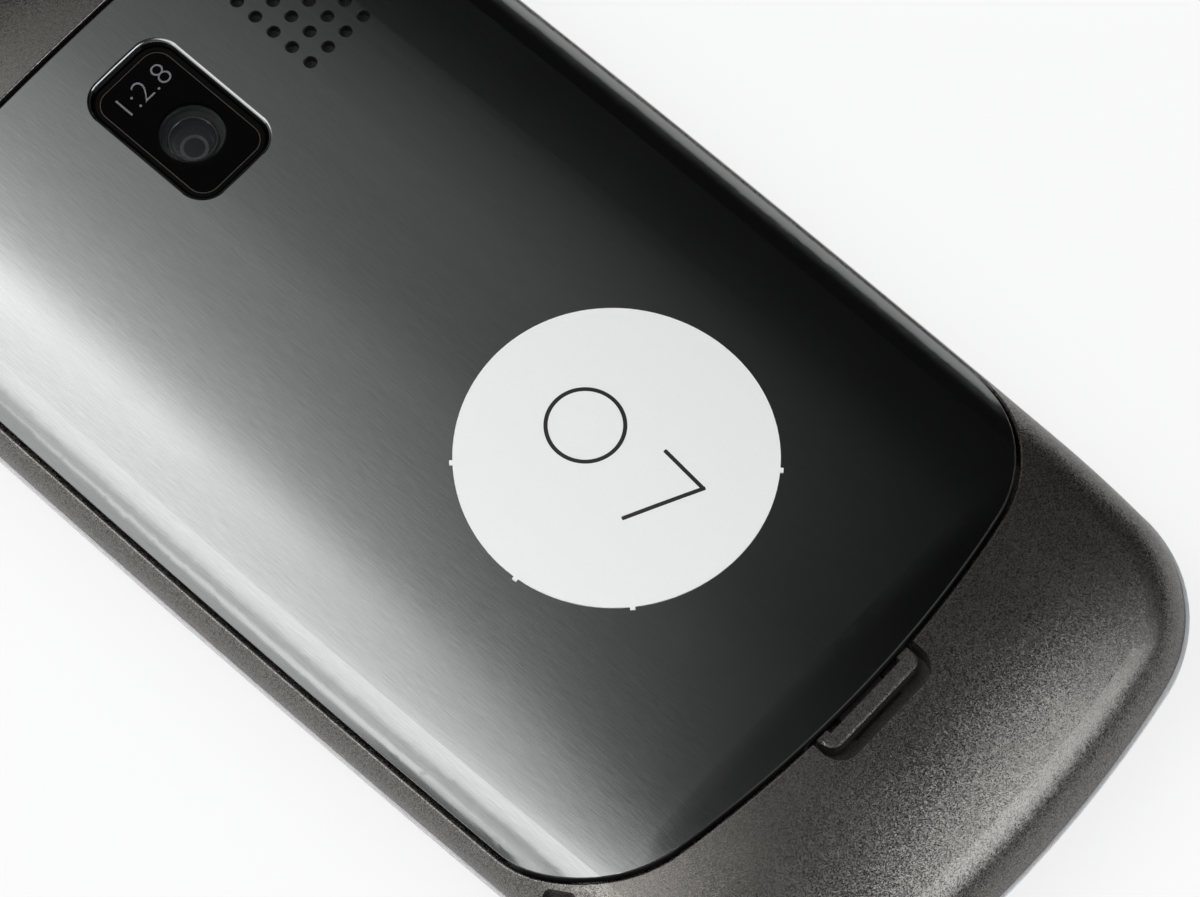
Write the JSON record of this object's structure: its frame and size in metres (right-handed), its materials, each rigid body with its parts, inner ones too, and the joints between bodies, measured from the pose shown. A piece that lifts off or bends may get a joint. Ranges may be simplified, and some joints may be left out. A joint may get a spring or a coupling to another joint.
{
  "type": "slider mobile phone",
  "caption": "Slider phone: display half slides up off a keypad half with a crowned back, hinged-off battery cover and sprung release catch.",
  "frame": {"origin": "middle of the phone's outline, on the plane of the display half's front rim, the face it lies on", "axes": "+X to the phone's right as seen from its back, +Y up the phone towards its camera end, +Z out of its back"},
  "size_m": [0.0566, 0.1122, 0.0146],
  "materials": {
    "brushed_cover": "brushed, dark anodised",
    "sparkle_paint": "fine metallic texture paint",
    "dark_chrome": "polished",
    "frame_black": "fine matt",
    "liner_black": "matt moulded",
    "board_green": "solder-mask coated board",
    "dome_film": "clear film with steel domes",
    "steel_sheet": "stamped sheet",
    "spring_steel": "spring strip",
    "battery_wrap": "film wrap",
    "contact_gold": "gold plated springs in a moulded block",
    "camera_black": "matt barrel",
    "lens_glass": "coated",
    "window_glass": "polished, dark",
    "speaker_body": "moulded",
    "cloth_black": "acoustic cloth",
    "motor_steel": "drawn can",
    "tungsten": "sintered",
    "jack_black": "moulded",
    "carrier_white": "moulded, with antenna foil",
    "guide_white": "slippery moulded",
    "screw_black": "blackened",
    "flex_amber": "polyimide film",
    "label_white": "paper label",
    "bezel_black": "gloss",
    "display_glass": "polished",
    "lcd_panel": "polariser",
    "key_plastic": "satin",
    "call_green": "satin",
    "end_red": "satin"
  },
  "bodies": {
    "rear_half": {"rear_housing": "sparkle_paint", "trim_ring": "dark_chrome", "keypad_frame": "frame_black", "main_board": "board_green", "dome_sheet": "dome_film", "shield_cans": "steel_sheet", "battery": "battery_wrap", "battery_contacts": "contact_gold", "sim_holder": "steel_sheet", "camera_module": "camera_black", "camera_lens": "lens_glass", "speaker": "speaker_body", "vibration_motor": "motor_steel", "headset_jack": "jack_black", "usb_socket": "steel_sheet", "antenna_carrier": "carrier_white", "fixed_slide_plate": "steel_sheet", "slide_guides": "guide_white", "base_screws": "screw_black", "flex_cable": "flex_amber", "catch_spring": "spring_steel", "side_key_board": "flex_amber"},
    "display_half": {"display_bezel": "bezel_black", "display_glass": "display_glass", "earpiece_mesh": "steel_sheet", "earpiece": "speaker_body", "lcd_module": "lcd_panel", "display_chassis": "steel_sheet", "display_board": "board_green", "display_rear_case": "frame_black", "moving_slide_plate": "steel_sheet"},
    "battery_cover": {"battery_cover": "brushed_cover", "cover_liner": "liner_black", "window_bezel": "bezel_black", "camera_window": "window_glass", "speaker_cloth": "cloth_black", "round_sticker": "label_white"},
    "release_catch": {"release_catch": "sparkle_paint"},
    "motor_weight": {"motor_weight": "tungsten"},
    "volume_rocker": {"volume_rocker": "key_plastic"},
    "camera_key": {"camera_key": "key_plastic"},
    "key_1": {"key_1": "key_plastic"},
    "key_2": {"key_2": "key_plastic"},
    "key_3": {"key_3": "key_plastic"},
    "key_4": {"key_4": "key_plastic"},
    "key_5": {"key_5": "key_plastic"},
    "key_6": {"key_6": "key_plastic"},
    "key_7": {"key_7": "key_plastic"},
    "key_8": {"key_8": "key_plastic"},
    "key_9": {"key_9": "key_plastic"},
    "key_star": {"key_star": "key_plastic"},
    "key_0": {"key_0": "key_plastic"},
    "key_hash": {"key_hash": "key_plastic"},
    "navigation_ring": {"navigation_ring": "dark_chrome"},
    "select_key": {"select_key": "key_plastic"},
    "left_soft_key": {"left_soft_key": "key_plastic"},
    "right_soft_key": {"right_soft_key": "key_plastic"},
    "call_key": {"call_key": "call_green"},
    "end_key": {"end_key": "end_red"}
  },
  "joints": [
    {"name": "display_slide", "type": "slide", "parent": "rear_half", "child": "display_half", "axis": [0, 1, 0], "range_m": [0, 0.0365], "deforming": ["flex_cable"]},
    {"name": "cover_hinge", "type": "hinge", "parent": "rear_half", "child": "battery_cover", "pos_m": [0, 0.0434, 0.0145], "axis": [-1, 0, 0], "range_deg": [0, 45]},
    {"name": "catch_slide", "type": "slide", "parent": "rear_half", "child": "release_catch", "axis": [0, -1, 0], "range_m": [0, 0.0011], "stiffness_N_per_m": 900, "deforming": ["catch_spring"]},
    {"name": "motor_spin", "type": "hinge", "parent": "rear_half", "child": "motor_weight", "pos_m": [0.01, 0.047, 0.0092], "axis": [1, 0, 0], "continuous": true},
    {"name": "volume_press", "type": "slide", "parent": "rear_half", "child": "volume_rocker", "axis": [-1, 0, 0], "range_m": [0, 0.0003], "stiffness_N_per_m": 3000},
    {"name": "camera_press", "type": "slide", "parent": "rear_half", "child": "camera_key", "axis": [-1, 0, 0], "range_m": [0, 0.0003], "stiffness_N_per_m": 3000},
    {"name": "key_1_press", "type": "slide", "parent": "rear_half", "child": "key_1", "axis": [0, 0, 1], "range_m": [0, 0.00025], "stiffness_N_per_m": 4000},
    {"name": "key_2_press", "type": "slide", "parent": "rear_half", "child": "key_2", "axis": [0, 0, 1], "range_m": [0, 0.00025], "stiffness_N_per_m": 4000},
    {"name": "key_3_press", "type": "slide", "parent": "rear_half", "child": "key_3", "axis": [0, 0, 1], "range_m": [0, 0.00025], "stiffness_N_per_m": 4000},
    {"name": "key_4_press", "type": "slide", "parent": "rear_half", "child": "key_4", "axis": [0, 0, 1], "range_m": [0, 0.00025], "stiffness_N_per_m": 4000},
    {"name": "key_5_press", "type": "slide", "parent": "rear_half", "child": "key_5", "axis": [0, 0, 1], "range_m": [0, 0.00025], "stiffness_N_per_m": 4000},
    {"name": "key_6_press", "type": "slide", "parent": "rear_half", "child": "key_6", "axis": [0, 0, 1], "range_m": [0, 0.00025], "stiffness_N_per_m": 4000},
    {"name": "key_7_press", "type": "slide", "parent": "rear_half", "child": "key_7", "axis": [0, 0, 1], "range_m": [0, 0.00025], "stiffness_N_per_m": 4000},
    {"name": "key_8_press", "type": "slide", "parent": "rear_half", "child": "key_8", "axis": [0, 0, 1], "range_m": [0, 0.00025], "stiffness_N_per_m": 4000},
    {"name": "key_9_press", "type": "slide", "parent": "rear_half", "child": "key_9", "axis": [0, 0, 1], "range_m": [0, 0.00025], "stiffness_N_per_m": 4000},
    {"name": "key_star_press", "type": "slide", "parent": "rear_half", "child": "key_star", "axis": [0, 0, 1], "range_m": [0, 0.00025], "stiffness_N_per_m": 4000},
    {"name": "key_0_press", "type": "slide", "parent": "rear_half", "child": "key_0", "axis": [0, 0, 1], "range_m": [0, 0.00025], "stiffness_N_per_m": 4000},
    {"name": "key_hash_press", "type": "slide", "parent": "rear_half", "child": "key_hash", "axis": [0, 0, 1], "range_m": [0, 0.00025], "stiffness_N_per_m": 4000},
    {"name": "navigation_ring_press", "type": "slide", "parent": "display_half", "child": "navigation_ring", "axis": [0, 0, 1], "range_m": [0, 0.0003], "stiffness_N_per_m": 4000},
    {"name": "select_key_press", "type": "slide", "parent": "display_half", "child": "select_key", "axis": [0, 0, 1], "range_m": [0, 0.0003], "stiffness_N_per_m": 4000},
    {"name": "left_soft_key_press", "type": "slide", "parent": "display_half", "child": "left_soft_key", "axis": [0, 0, 1], "range_m": [0, 0.0003], "stiffness_N_per_m": 4000},
    {"name": "right_soft_key_press", "type": "slide", "parent": "display_half", "child": "right_soft_key", "axis": [0, 0, 1], "range_m": [0, 0.0003], "stiffness_N_per_m": 4000},
    {"name": "call_key_press", "type": "slide", "parent": "display_half", "child": "call_key", "axis": [0, 0, 1], "range_m": [0, 0.0003], "stiffness_N_per_m": 4000},
    {"name": "end_key_press", "type": "slide", "parent": "display_half", "child": "end_key", "axis": [0, 0, 1], "range_m": [0, 0.0003], "stiffness_N_per_m": 4000}
  ]
}
